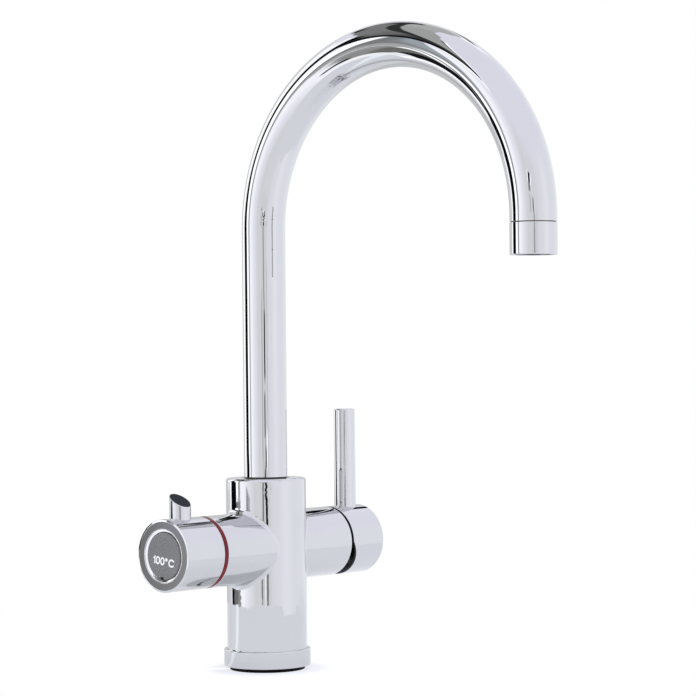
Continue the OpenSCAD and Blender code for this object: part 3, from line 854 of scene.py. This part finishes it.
def mark():
    """The figures 100 and a degree sign with C, as thin raised strokes on the button's face."""
    w = 0.46  # half the stroke's width
    hgt = 4.7
    strokes = []  # (points, closed)

    def oval(cx, cy, rx, ry, a0=0.0, a1=360.0, closed=True, k=40, power=2.0):
        pts = []
        steps = k if closed else k + 1
        for i in range(steps):
            a = math.radians(a0 + (a1 - a0) * i / k)
            ca, sa = math.cos(a), math.sin(a)
            pts.append((cx + rx * math.copysign(abs(ca) ** (2 / power), ca), cy + ry * math.copysign(abs(sa) ** (2 / power), sa)))
        strokes.append((pts, closed))

    h = hgt / 2 - w
    strokes.append(([(-8.35, h - 0.95), (-7.45, h), (-7.45, -h)], False))
    oval(-4.95, 0, 1.30, h, power=2.3)
    oval(-1.10, 0, 1.30, h, power=2.3)
    oval(2.05, h - 0.52, 0.52, 0.52, k=24)
    oval(6.45, 0, 2.15, h, 42, 318, False, 44)
    verts, faces, norms = [], [], []
    face_h, foot_h = 84.86, 84.76
    ct, st = math.cos(TILT), math.sin(TILT)
    org, ax, e1, e2 = AXES["B"]

    def vert(s, t, hh):
        # s to the right and t up, as seen from the knob's end
        a, b = s * ct - t * st, s * st + t * ct
        p = org + ax * hh + np.array([0, -1.0, 0]) * (a + 0.1) + np.array([0, 0, 1.0]) * (b - 3.1)
        verts.append(p)
        return len(verts) - 1

    for pts, closed in strokes:
        p = np.array(pts)
        m = len(p)
        left, right = [], []
        for i in range(m):
            a = p[i - 1] if (closed or i > 0) else p[i]
            b = p[(i + 1) % m] if (closed or i < m - 1) else p[i]
            d1 = (p[i] - a) / max(np.linalg.norm(p[i] - a), 1e-9)
            d2 = (b - p[i]) / max(np.linalg.norm(b - p[i]), 1e-9)
            if not closed and i == 0:
                d1 = d2
            if not closed and i == m - 1:
                d2 = d1
            q = d1 + d2
            q /= np.linalg.norm(q)
            nrm = np.array([-q[1], q[0]])
            k = w / max(0.5, float(nrm @ np.array([-d1[1], d1[0]])))
            left.append(p[i] + nrm * k)
            right.append(p[i] - nrm * k)
        up = np.array([-1.0, 0, 0])

        def strip(a, b):
            """Top and both sides of one stretch, from outline points a0, b0 to a1, b1."""
            (a0, a1), (b0, b1) = a, b
            t = [vert(*a0, face_h), vert(*a1, face_h), vert(*b1, face_h), vert(*b0, face_h)]
            faces.append(tuple(t))
            norms.append([up] * 4)
            for (u0, u1), (o0, o1), (i0, i1) in (((a0, a1), (b0, b1), (0, 1)), ((b0, b1), (a0, a1), (3, 2))):
                lo = [vert(*u0, foot_h), vert(*u1, foot_h)]
                sd = np.array(u0) - np.array(o0)
                sd = np.array([0, -(sd[0] * ct - sd[1] * st), sd[0] * st + sd[1] * ct])
                faces.append((t[i0], t[i1], lo[1], lo[0]))
                norms.append([sd] * 4)

        for i in range(m if closed else m - 1):
            j = (i + 1) % m
            strip((left[i], left[j]), (right[i], right[j]))
        if not closed:
            for i, sgn in ((0, -1.0), (m - 1, 1.0)):
                d = p[1] - p[0] if i == 0 else p[-1] - p[-2]
                d = d / np.linalg.norm(d) * sgn
                nrm = np.array([-d[1], d[0]])
                arc = [p[i] + w * (d * math.sin(math.pi * q / 8) + nrm * math.cos(math.pi * q / 8)) for q in range(9)]
                fan = [vert(*a, face_h) for a in arc]
                lo = [vert(*a, foot_h) for a in arc]
                c = vert(*p[i], face_h)
                for q in range(8):
                    faces.append((c, fan[q], fan[q + 1]))
                    norms.append([up] * 3)
                    ns = []
                    for z in (q, q + 1, q + 1, q):
                        v = arc[z] - p[i]
                        ns.append(np.array([0, -(v[0] * ct - v[1] * st), v[0] * st + v[1] * ct]))
                    faces.append((fan[q], fan[q + 1], lo[q + 1], lo[q]))
                    norms.append(ns)
    return verts, faces, norms


# ---------------------------------------------------------------- build the pieces
piece("tap_body", *body_casting(), "cast", "base", "chrome", ["body_casting"])
piece("tap_base_ring", *lathe([(20.05, 2.3), (25.98, 2.3, 0.6), (25.98, 12.4, 0.6), (24.1, 12.4, 0.12), (24.1, 12.0), (20.05, 12.0)], "Z", 160), "cast", "base", "chrome", ["base_ring"])
piece("tap_gasket", *lathe([(17.2, 0), (22.5, 0, 0.35), (22.5, 2.3, 0.5), (17.2, 2.3)], "Z", 128), "rubber", "base", "rubber", ["base_gasket"])
piece("spout_neck", *spout_tube(), "tube", "spout", "chrome", ["spout_tube"])
piece("spout_nozzle", *lathe([(11.2, 240.8, 0.3), (13.1, 240.8, 0.5), (13.1, 258.35, 0.12), (11.2, 258.35)], "Z", 128, centre=(0, -204, 0)), "cast", "spout", "chrome", ["outlet_nozzle"])
# painted shade: a thin black rubber ring in the nozzle joint stands for the deep gap's shadow
piece("nozzle_gap_shade_ring", *lathe([(10.95, 258.36), (12.3, 258.36), (12.3, 258.68), (10.95, 258.68)], "Z", 96, centre=(0, -204, 0)), "rubber", "spout", "rubber")
piece("red_band", *lathe([(17.5, 53.02), (20.98, 53.02, 0.12), (20.98, 55.42, 0.12), (17.5, 55.42)], "B", 144), "red", "base", "red_plastic", ["red_ring"])
piece("knob_body", *lathe([
    (0, 68.5), (17.48, 68.5), (17.48, 55.8), (RA, 55.8, 0.45), (RA, 85.02, 0.42), (19.95, 85.3, 1.2), (15.4, 85.3, 0.35), (15.4, 74.0), (0, 74.0)], "B", 160, 8),
    "turned", "knob", "chrome", ["knob_shell"])
piece("knob_lever_pin", *knob_pin(), "turned", "knob", "chrome", ["knob_pin"])
piece("button_trim", *lathe([(13.78, 82.7), (15.37, 82.7), (15.37, 84.95, 0.12), (15.0, 85.0, 0.25), (13.78, 84.25, 0.35)], "B", 144), "bright", "knob", "chrome", ["button_trim_ring"])


def notch(r, h, turn):
    """Moves the button's rim in at the pry notch."""
    d = (turn - math.pi + TILT + math.pi) % (2 * math.pi) - math.pi
    if abs(d) < 0.115 and r > 12.6 and h > 82.8:
        return r - 1.3, h
    return r, h


piece("button_cap", *lathe([
    (10, 77.2), (11.6, 77.2), (11.6, 80.4), (14.9, 80.4), (14.9, 82.4), (13.6, 82.4), (13.6, 83.3), (13.56, 83.32), (13.56, 84.8, 0.3), (0, 84.8),
    (0, 81.4), (4.4, 81.4), (4.4, 80.4), (10, 80.4)], "B", 180, 5, warp=notch), "button", "button", "button_plastic", ["safety_button"])
piece("temperature_mark", *mark(), "print", "button", "white_plastic")
cup = mixer_cap()
# painted shade: the cup's bore, its step and the relieved rim face take the dark finish, so the gap by the arm's end
# reads black
painted_shade_faces = [int(all(math.hypot(cup[0][i][1], cup[0][i][2] - AZ) < 20.95 and cup[0][i][0] < 71.2 for i in f)) for f in cup[1]]
piece("mixer_cup", *cup, "turned", "lever", "chrome", ["mixer_cap"], face_mats=painted_shade_faces, mats=["turned", "dark"])
piece("mixer_rod", *lathe([(0, 91.7), (6.7, 91.7), (6.7, 97.0), (6.5, 154.0, 0.9), (0, 154.0)], "Z", 96, centre=(70.7, 0, 0)), "turned", "lever", "chrome", ["mixer_lever"])

NODES["cartridge_dome"].data.materials.clear()
NODES["cartridge_dome"].data.materials.append(M["dark"])
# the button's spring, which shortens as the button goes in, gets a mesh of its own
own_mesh(NODES["button_spring"])

# ---------------------------------------------------------------- floor
me = bpy.data.meshes.new("studio_floor")
seg, radii = 96, [0.03, 0.06, 0.1, 0.15, 0.2, 0.26, 0.32, 0.36, 0.41, 0.5, 0.64]
fv = [(0, 0, 0)] + [(r * math.cos(2 * math.pi * i / seg), r * math.sin(2 * math.pi * i / seg), 0) for r in radii for i in range(seg)]
ff = [(0, 1 + i, 1 + (i + 1) % seg) for i in range(seg)]
for k in range(len(radii) - 1):
    a, b = 1 + k * seg, 1 + (k + 1) * seg
    ff += [(a + i, b + i, b + (i + 1) % seg, a + (i + 1) % seg) for i in range(seg)]
me.from_pydata(fv, [], ff)
me.update()
floor = bpy.data.objects.new("studio_floor", me)
floor.location = (0, 0, -0.00005)
bpy.context.scene.collection.objects.link(floor)
m, g, b, co = new_material("floor_pale")
b.inputs["Roughness"].default_value = 0.9
b.inputs["Specular IOR Level"].default_value = 0.0
g.put(b.inputs["Base Color"], g.mix(g.noise(co, 9.0, 4.0), (0.865, 0.875, 0.840), (0.885, 0.895, 0.860)))
ln = g.new("ShaderNodeVectorMath", operation="LENGTH")
g.put(ln.inputs[0], co)
sp = g.new("ShaderNodeSeparateXYZ")
g.put(sp.inputs[0], co)
turn = g.math("DEGREES", g.math("ARCTAN2", g.add(g.mul(sp.outputs["X"], 0.6699), g.mul(sp.outputs["Y"], -0.7424)),
                                g.add(g.mul(sp.outputs["X"], -0.7424), g.mul(sp.outputs["Y"], -0.6699))))
# its far edge: nearer on the right front, and without a clear line behind on the right
nearer, soft = g.band(turn, 48.0, 91.0, 7.0), g.ramp01(turn, 103.0, 110.0)
fade = g.ramp01(ln.outputs["Value"], g.sub(g.sub(0.388, g.mul(nearer, 0.060)), g.mul(soft, 0.150)), g.add(g.sub(0.400, g.mul(nearer, 0.060)), g.mul(soft, 0.220)))
# painted light and shade in the floor's glow: a brighter band where the window's light lies along the floor, and
# painted shade, darker where the angle round the tap is below about -115 degrees
painted_light_tint = g.mix(g.band(turn, -95.5, -84.5, 5.0), (0.985, 0.995, 1.075), (1.24, 1.30, 1.38))  # the window's light lies along the floor
painted_light_tint = g.mix(g.ramp01(turn, -122.0, -108.0, 1.0, 0.0), painted_light_tint, (0.92, 0.93, 0.98))
glow = g.new("ShaderNodeEmission")
g.put(glow.inputs[0], painted_light_tint)
lit = g.new("ShaderNodeMixShader")  # mostly a lit panel, so that only a faint shadow falls on it
g.put(lit.inputs[0], g.ramp01(ln.outputs["Value"], 0.05, 0.16, 0.70, 1.0))
g.put(lit.inputs[1], b.outputs[0])
g.put(lit.inputs[2], glow.outputs[0])
see = g.new("ShaderNodeEmission")  # what the camera itself sees away from the foot: plain white
g.put(see.inputs[0], (1.0, 1.0, 1.0))
flp = g.new("ShaderNodeLightPath")
plain_far = g.new("ShaderNodeMixShader")
g.put(plain_far.inputs[0], g.mul(flp.outputs["Is Camera Ray"], g.ramp01(ln.outputs["Value"], 0.0285, 0.040)))
g.put(plain_far.inputs[1], lit.outputs[0])
g.put(plain_far.inputs[2], see.outputs[0])
clear = g.new("ShaderNodeBsdfTransparent")
mx = g.new("ShaderNodeMixShader")
g.put(mx.inputs[0], fade)
g.put(mx.inputs[1], plain_far.outputs[0])
g.put(mx.inputs[2], clear.outputs[0])
out = next(x for x in m.node_tree.nodes if x.type == "OUTPUT_MATERIAL")
m.node_tree.links.new(mx.outputs[0], out.inputs[0])
me.materials.append(m)

# ---------------------------------------------------------------- soft studio light
world = bpy.data.worlds.new("studio")
bpy.context.scene.world = world
world.use_nodes = True
g = Graph(world.node_tree)
wout = g.new("ShaderNodeOutputWorld")
d = g.new("ShaderNodeTexCoord").outputs["Generated"]
front = g.dot(d, (-0.7424, -0.6699, 0.0))
right = g.dot(d, (0.6699, -0.7424, 0.0))
up = g.dot(d, (0.0, 0.0, 1.0))
az = g.math("DEGREES", g.math("ARCTAN2", right, front))
el = g.math("DEGREES", g.math("ARCSINE", up))

turn = g.math("WRAP", az, 360.0, 0.0)  # the same angle from 0 to 360


def path(points, x=None):
    """An outline of straight stretches: height over the angle round the tap, or over x."""
    y = points[0][1]
    for (x0, y0), (x1, y1) in zip(points, points[1:]):
        if y1 != y0:
            y = g.add(y, g.ramp01(turn if x is None else x, x0, x1, 0.0, y1 - y0, kind="LINEAR"))
    return y


# the soft tent all round: a few broad panels, a little brighter or darker
tent = g.new("ShaderNodeValToRGB")
tent.color_ramp.interpolation = "EASE"
stops = [(-180, 0.70, 0.705, 0.71), (-158, 0.75, 0.755, 0.76), (-140, 0.80, 0.80, 0.81), (-132, 0.90, 0.91, 0.93), (-100, 1.30, 1.30, 1.36),
         (-80, 1.44, 1.44, 1.50), (-68, 1.40, 1.40, 1.48), (-57, 1.24, 1.24, 1.33), (-46, 1.12, 1.12, 1.21), (-28, 0.96, 0.98, 1.00),
         (4, 0.98, 0.99, 1.03), (34, 1.06, 1.06, 1.14), (60, 1.15, 1.15, 1.24), (92, 1.08, 1.09, 1.17), (140, 1.10, 1.11, 1.19),
         (158, 1.05, 1.05, 1.10), (171, 0.80, 0.80, 0.82), (180, 0.70, 0.705, 0.71)]
el_r = tent.color_ramp.elements
while len(el_r) < len(stops):
    el_r.new(0.5)
for e, (a, *c) in zip(el_r, stops):
    e.position = (a + 180) / 360
for e, (a, *c) in zip(el_r, stops):
    e.color = (*[x / 1.5 for x in c], 1)  # a ramp holds no more than 1
g.put(tent.inputs[0], g.math("DIVIDE", g.add(az, 180.0), 360.0))
brighter = g.new("ShaderNodeVectorMath", operation="SCALE")
g.put(brighter.inputs[0], tent.outputs[0])
brighter.inputs["Scale"].default_value = 1.5
sky = g.mix(g.ramp01(el, 18.0, 38.0), brighter.outputs[0], (1.06, 1.055, 1.18))
sky = g.mix(g.ramp01(el, -75.0, -40.0, 1.0, 0.0), sky, (0.98, 0.99, 1.0))


def lay(mask, colour):
    global sky
    sky = g.mix(mask, sky, colour)


# the tent's opening on the left: a window between dark room strips
lay(g.mul(g.band(turn, 218.0, 238.0, 5.0), g.band(el, -2.9, 36.0, 1.5)), (1.45, 1.45, 1.47))
lay(g.mul(g.band(az, -127.0, -116.0, 4.0), g.band(el, -2.6, 40.0, 1.0)), (1.50, 1.50, 1.52))
lay(g.mul(g.band(az, -121.5, -116.0, 1.6), g.band(el, -4.6, -2.6, 0.4)), (1.6, 1.6, 1.62))
lay(g.mul(g.band(az, -120.0, -111.0, 3.0), g.band(el, -40.0, -6.4, 1.0)), (1.6, 1.6, 1.62))
win_l = path([(-3.4, -92.5), (-2.3, -98.5), (8, -101.5), (14, -101.5), (19, -100), (23, -97.5), (26, -93.5), (27.5, -89)], el)
lay(g.mul(g.mul(g.step(az, win_l, 3.0), g.step(-86.4, az, 1.2)), g.band(el, -3.5, 27.0, 0.5)), (1.80, 1.82, 1.86))
lay(g.mul(g.band(az, -95.5, -86.5, 3.0), g.band(el, -10.5, -6.3, 1.4)), (1.6, 1.6, 1.62))
# the window's right post, wider near the deck
lay(g.mul(g.band(az, -86.0, -77.6, 1.4), g.band(el, -3.5, 31.0, 0.5)),
    g.mix(g.mul(g.ramp01(az, -83.5, -81.0), g.ramp01(el, 1.0, 6.0)), g.mix(g.ramp01(el, 1.5, 6.0), (0.55, 0.56, 0.57), (0.30, 0.305, 0.31)), (0.50, 0.55, 0.60)))
low_l = path([(-5.35, -107), (-4.7, -97), (-4.6, -95.0), (-2.6, -95.0)], el)
low_r = path([(-6.1, -75.5), (-5.5, -84), (-5.2, -86.6), (-4.75, -86.6), (-4.6, -76.5), (-2.4, -76.5)], el)
shade = g.mix(g.ramp01(az, -89.25, -87.95, kind="LINEAR"), (0.235, 0.235, 0.240), (0.385, 0.380, 0.395))
shade = g.mix(g.mul(g.ramp01(el, -4.40, -4.12), g.ramp01(az, -88.9, -88.3)), shade, (0.36, 0.38, 0.43))
lay(g.mul(g.mul(g.step(az, g.sub(low_l, 3.0), 1.5), g.step(low_r, az, 1.5)), g.band(el, -6.4, -3.5, 0.3)), shade)
lay(g.mul(g.band(az, -87.0, -77.5, 2.0), g.band(el, -10.5, -6.4, 1.0)), (0.42, 0.43, 0.43))
lay(g.mul(g.band(az, -98.0, -75.0, 5.0), g.band(el, -30.0, -10.5, 2.0)), g.mix(g.ramp01(az, -88.0, -84.0), (0.22, 0.22, 0.20), (0.40, 0.40, 0.40)))
# ceiling: a grey field above, a darker one below, parted by a thick dark edge
roof = path([(158, 44), (163, 50), (166, 56), (169, 60), (172, 63.5), (176, 65.5), (183, 67), (200, 70), (212, 71.5), (258, 72), (265, 71),
             (275, 66), (285, 61), (290, 56), (293, 52), (296, 47), (299, 42.5), (302, 39), (306, 36.5), (307.5, 33.5)])
foot = path([(165, 44), (168, 42), (171, 37), (176, 36.5), (186, 35.5), (191, 32.5), (197, 31.5), (203, 34), (208, 37.5), (214, 40), (230, 41.5),
             (238, 42), (242, 41), (247, 38.5), (252, 31), (258, 27.5), (266, 26.3), (271, 26.8), (280, 28.5), (285, 29.8), (292, 31), (300, 32.4), (307.5, 33.2)])
ridge = path([(180, 44.5), (184, 45.5), (188, 47), (192, 48.5), (196, 50), (200, 51.4), (205, 52.6), (210, 53.6), (218, 54.6), (230, 54.6),
              (240, 54.2), (248, 53), (255, 51.3), (260, 50), (265, 48.5), (270, 46.8), (275, 44.5), (280, 42), (285, 40.2), (290, 38.4), (296, 37), (305, 35.5)])
field = g.mul(g.mul(g.step(el, foot, 1.0), g.step(roof, el, 1.0)), g.band(turn, 164.0, 308.0, 1.5))
lay(g.mul(g.band(turn, 149.0, 163.5, 4.0), g.band(el, 43.5, 54.0, 4.0)), (1.42, 1.42, 1.45))
for a, b in ((g.sub(foot, 3.4), g.sub(foot, 0.4)), (g.add(roof, 0.4), g.add(roof, 4.2))):  # bright lines that border its tip
    lay(g.mul(g.mul(g.step(el, a, 1.2), g.step(b, el, 1.0)), g.band(turn, 287.0, 309.0, 4.0)), (1.62, 1.62, 1.68))
tone = g.mix(g.ramp01(turn, 205.0, 230.0), (0.60, 0.61, 0.60), (0.515, 0.525, 0.51))
under = g.mul(g.step(ridge, el, 0.8), g.band(turn, 181.0, 308.0, 2.0))
grey = g.sub(g.ramp01(turn, 250.0, 266.0, 0.28, 0.215), g.ramp01(turn, 267.0, 281.0, 0.0, 0.155))
tone = g.mix(under, tone, g.mix(grey, (0, 0, 0), (1.0, 1.0, 0.98)))
low_edge = g.mul(g.step(g.add(foot, 7.0), el, 3.5), g.ramp01(turn, 246.0, 262.0))
low_edge = g.math("MAXIMUM", low_edge, g.mul(g.mul(g.step(g.add(foot, 4.0), el, 4.0), g.band(turn, 187.0, 212.0, 6.0)), 0.92))
low_edge = g.math("MAXIMUM", low_edge, g.mul(g.band(turn, 183.5, 198.5, 2.0), g.band(el, 42.8, 50.6, 1.5)))
tone = g.mix(low_edge, tone, (0.008, 0.008, 0.010))
ridge_half = g.ramp01(turn, 200.0, 212.0, 2.2, 2.7)
on_ridge = g.mul(g.step(ridge_half, g.math("ABSOLUTE", g.sub(el, ridge)), 1.1), g.band(turn, 181.0, 300.0, 3.0))
tone = g.mix(on_ridge, tone, (0.045, 0.046, 0.045))
tone = g.mix(g.mul(g.step(el, g.sub(roof, 2.6), 1.2), g.band(turn, 283.0, 304.0, 4.0)), tone, (0.12, 0.12, 0.13))
lay(field, tone)
# the dark strip between the left wall and the window
bar_l = path([(-4.7, -116.2), (-2.7, -116.2), (-2.3, -119.0), (3, -119.2), (12, -116.2), (38, -114.2)], el)
bar_r = path([(-4.7, -93.4), (-2.7, -93.6), (-2.3, -96.8), (2.5, -97.6), (5, -99.4), (8, -102.2), (38, -102.0)], el)
lay(g.mul(g.mul(g.step(az, bar_l, 2.0), g.step(bar_r, az, 2.0)), g.band(el, -4.65, 38.5, 0.3)), (0.004, 0.004, 0.006))
wedge_r = path([(-6.1, -101), (-5.65, -106), (-5.35, -107), (-4.65, -97)], el)
lay(g.mul(g.mul(g.step(az, -116.0, 1.5), g.step(wedge_r, az, 1.5)), g.band(el, -6.2, -4.6, 0.15)), (0.004, 0.004, 0.006))
lay(g.mul(g.band(az, -111.5, -97.0, 2.0), g.band(el, -27.0, -6.4, 1.0)), (0.012, 0.012, 0.016))
# a thin dark cord behind on the right
cord = g.sub(turn, g.line(el, 35.9, 163.9, 41.7, 159.8))
lay(g.mul(g.band(cord, -1.5, 2.6, 0.7), g.band(el, 28.0, 44.5, 2.0)), g.mix(g.ramp01(el, 39.0, 40.5), (0.004, 0.004, 0.006), (0.058, 0.063, 0.076)))
# a narrow panel straight in front, with a broken dark line down its middle
lay(g.mul(g.band(az, -13.5, 15.0, 2.0), g.band(el, -14.0, 5.0, 3.0)), (0.93, 0.94, 0.97))
for a, b, tall, c in ((-13.4, -8.8, (-2.6, 1.4), 0.58), (14.6, 18.6, (-3.0, 2.2), 0.80), (-8.0, -3.4, (-4.7, -2.8), 0.30), (-12.4, -8.2, (-6.2, -4.9), 0.30),
                      (-20.0, -15.5, (3.8, 9.5), 0.64), (-8.6, -4.4, (4.8, 9.5), 0.68)):
    lay(g.mul(g.band(az, a, b, 1.6), g.band(el, *tall, 0.5)), (c, c, 1.03 * c))
for a, b, tall, c in ((-1.8, 0.6, (-6.2, -5.0), 1.5), (9.4, 14.0, (-2.75, -1.9), 1.6)):
    lay(g.mul(g.band(az, a, b, 1.4), g.band(el, *tall, 0.3)), (c, c, 1.03 * c))
mid = path([(-6.0, 4.6), (-4.7, 5.2), (-3.6, 4.6), (-3.2, 1.6), (-2.75, 1.6), (-2.7, 5.4), (-2.2, 5.2), (-2.05, 1.2), (-1.0, 1.0), (-0.6, 2.4), (1.2, 2.2),
            (1.5, 0.6), (3.2, 0.2), (3.8, -3.0), (9.0, -3.4)], el)
off = g.math("ABSOLUTE", g.sub(az, mid))
dark = g.math("MAXIMUM", g.math("MAXIMUM", g.band(el, -0.6, 1.2, 0.3), g.mul(g.band(el, -2.05, -0.9, 0.2), 0.82)),
              g.math("MAXIMUM", g.band(el, -4.7, -2.15, 0.2), g.mul(g.band(el, -6.2, -4.9, 0.2), 0.68)))
dark = g.math("MAXIMUM", dark, g.math("MAXIMUM", g.mul(g.band(el, 1.2, 3.5, 0.4), 0.50), g.mul(g.band(el, 3.4, 9.0, 1.5), 0.85)))
lay(g.mul(g.step(g.ramp01(el, 2.8, 3.8, 3.0, 1.6), off, 1.2), dark), (0.006, 0.006, 0.008))
spot = g.sub(az, g.line(el, 13.5, -15.5, 17.5, -11.5))
lay(g.mul(g.band(spot, -6.5, 8.0, 2.0), g.band(el, 13.3, 17.8, 1.6)), (1.55, 1.55, 1.6))
lay(g.mul(g.band(spot, -3.4, 4.2, 1.0), g.band(el, 10.5, 17.9, 1.0)), g.mix(g.ramp01(el, 13.0, 14.5), (0.32, 0.32, 0.34), (0.004, 0.004, 0.006)))
# a short dark bar low on the left, that only the arch sees
lay(g.mul(g.band(az, -79.5, -68.5, 2.5), g.band(el, -28.8, -23.8, 1.5)), (0.004, 0.004, 0.006))

bg = g.new("ShaderNodeBackground")
g.put(bg.inputs[0], sky)
plain = g.new("ShaderNodeBackground")
plain.inputs[0].default_value = (1, 1, 1, 1)
lp = g.new("ShaderNodeLightPath")
mx = g.new("ShaderNodeMixShader")
g.put(mx.inputs[0], lp.outputs["Is Camera Ray"])
g.put(mx.inputs[1], bg.outputs[0])
g.put(mx.inputs[2], plain.outputs[0])
g.t.links.new(mx.outputs[0], wout.inputs[0])

# ---------------------------------------------------------------- camera and view
cam = bpy.data.cameras.new("camera")
cam.sensor_width = 36.0
cam.sensor_fit = "HORIZONTAL"
cam.lens = 122.94
cam.clip_start, cam.clip_end = 0.01, 50.0
camera = bpy.data.objects.new("camera", cam)
bpy.context.scene.collection.objects.link(camera)
camera.matrix_world = Matrix((
    (0.66996, 0.00434, -0.74238, -1.02570),
    (-0.74233, -0.00923, -0.66997, -0.99316),
    (-0.00976, 0.99995, -0.00296, 0.18737),
    (0, 0, 0, 1)))
bpy.context.scene.camera = camera
bpy.context.scene.view_settings.view_transform = "Standard"
bpy.context.scene.view_settings.look = "None"
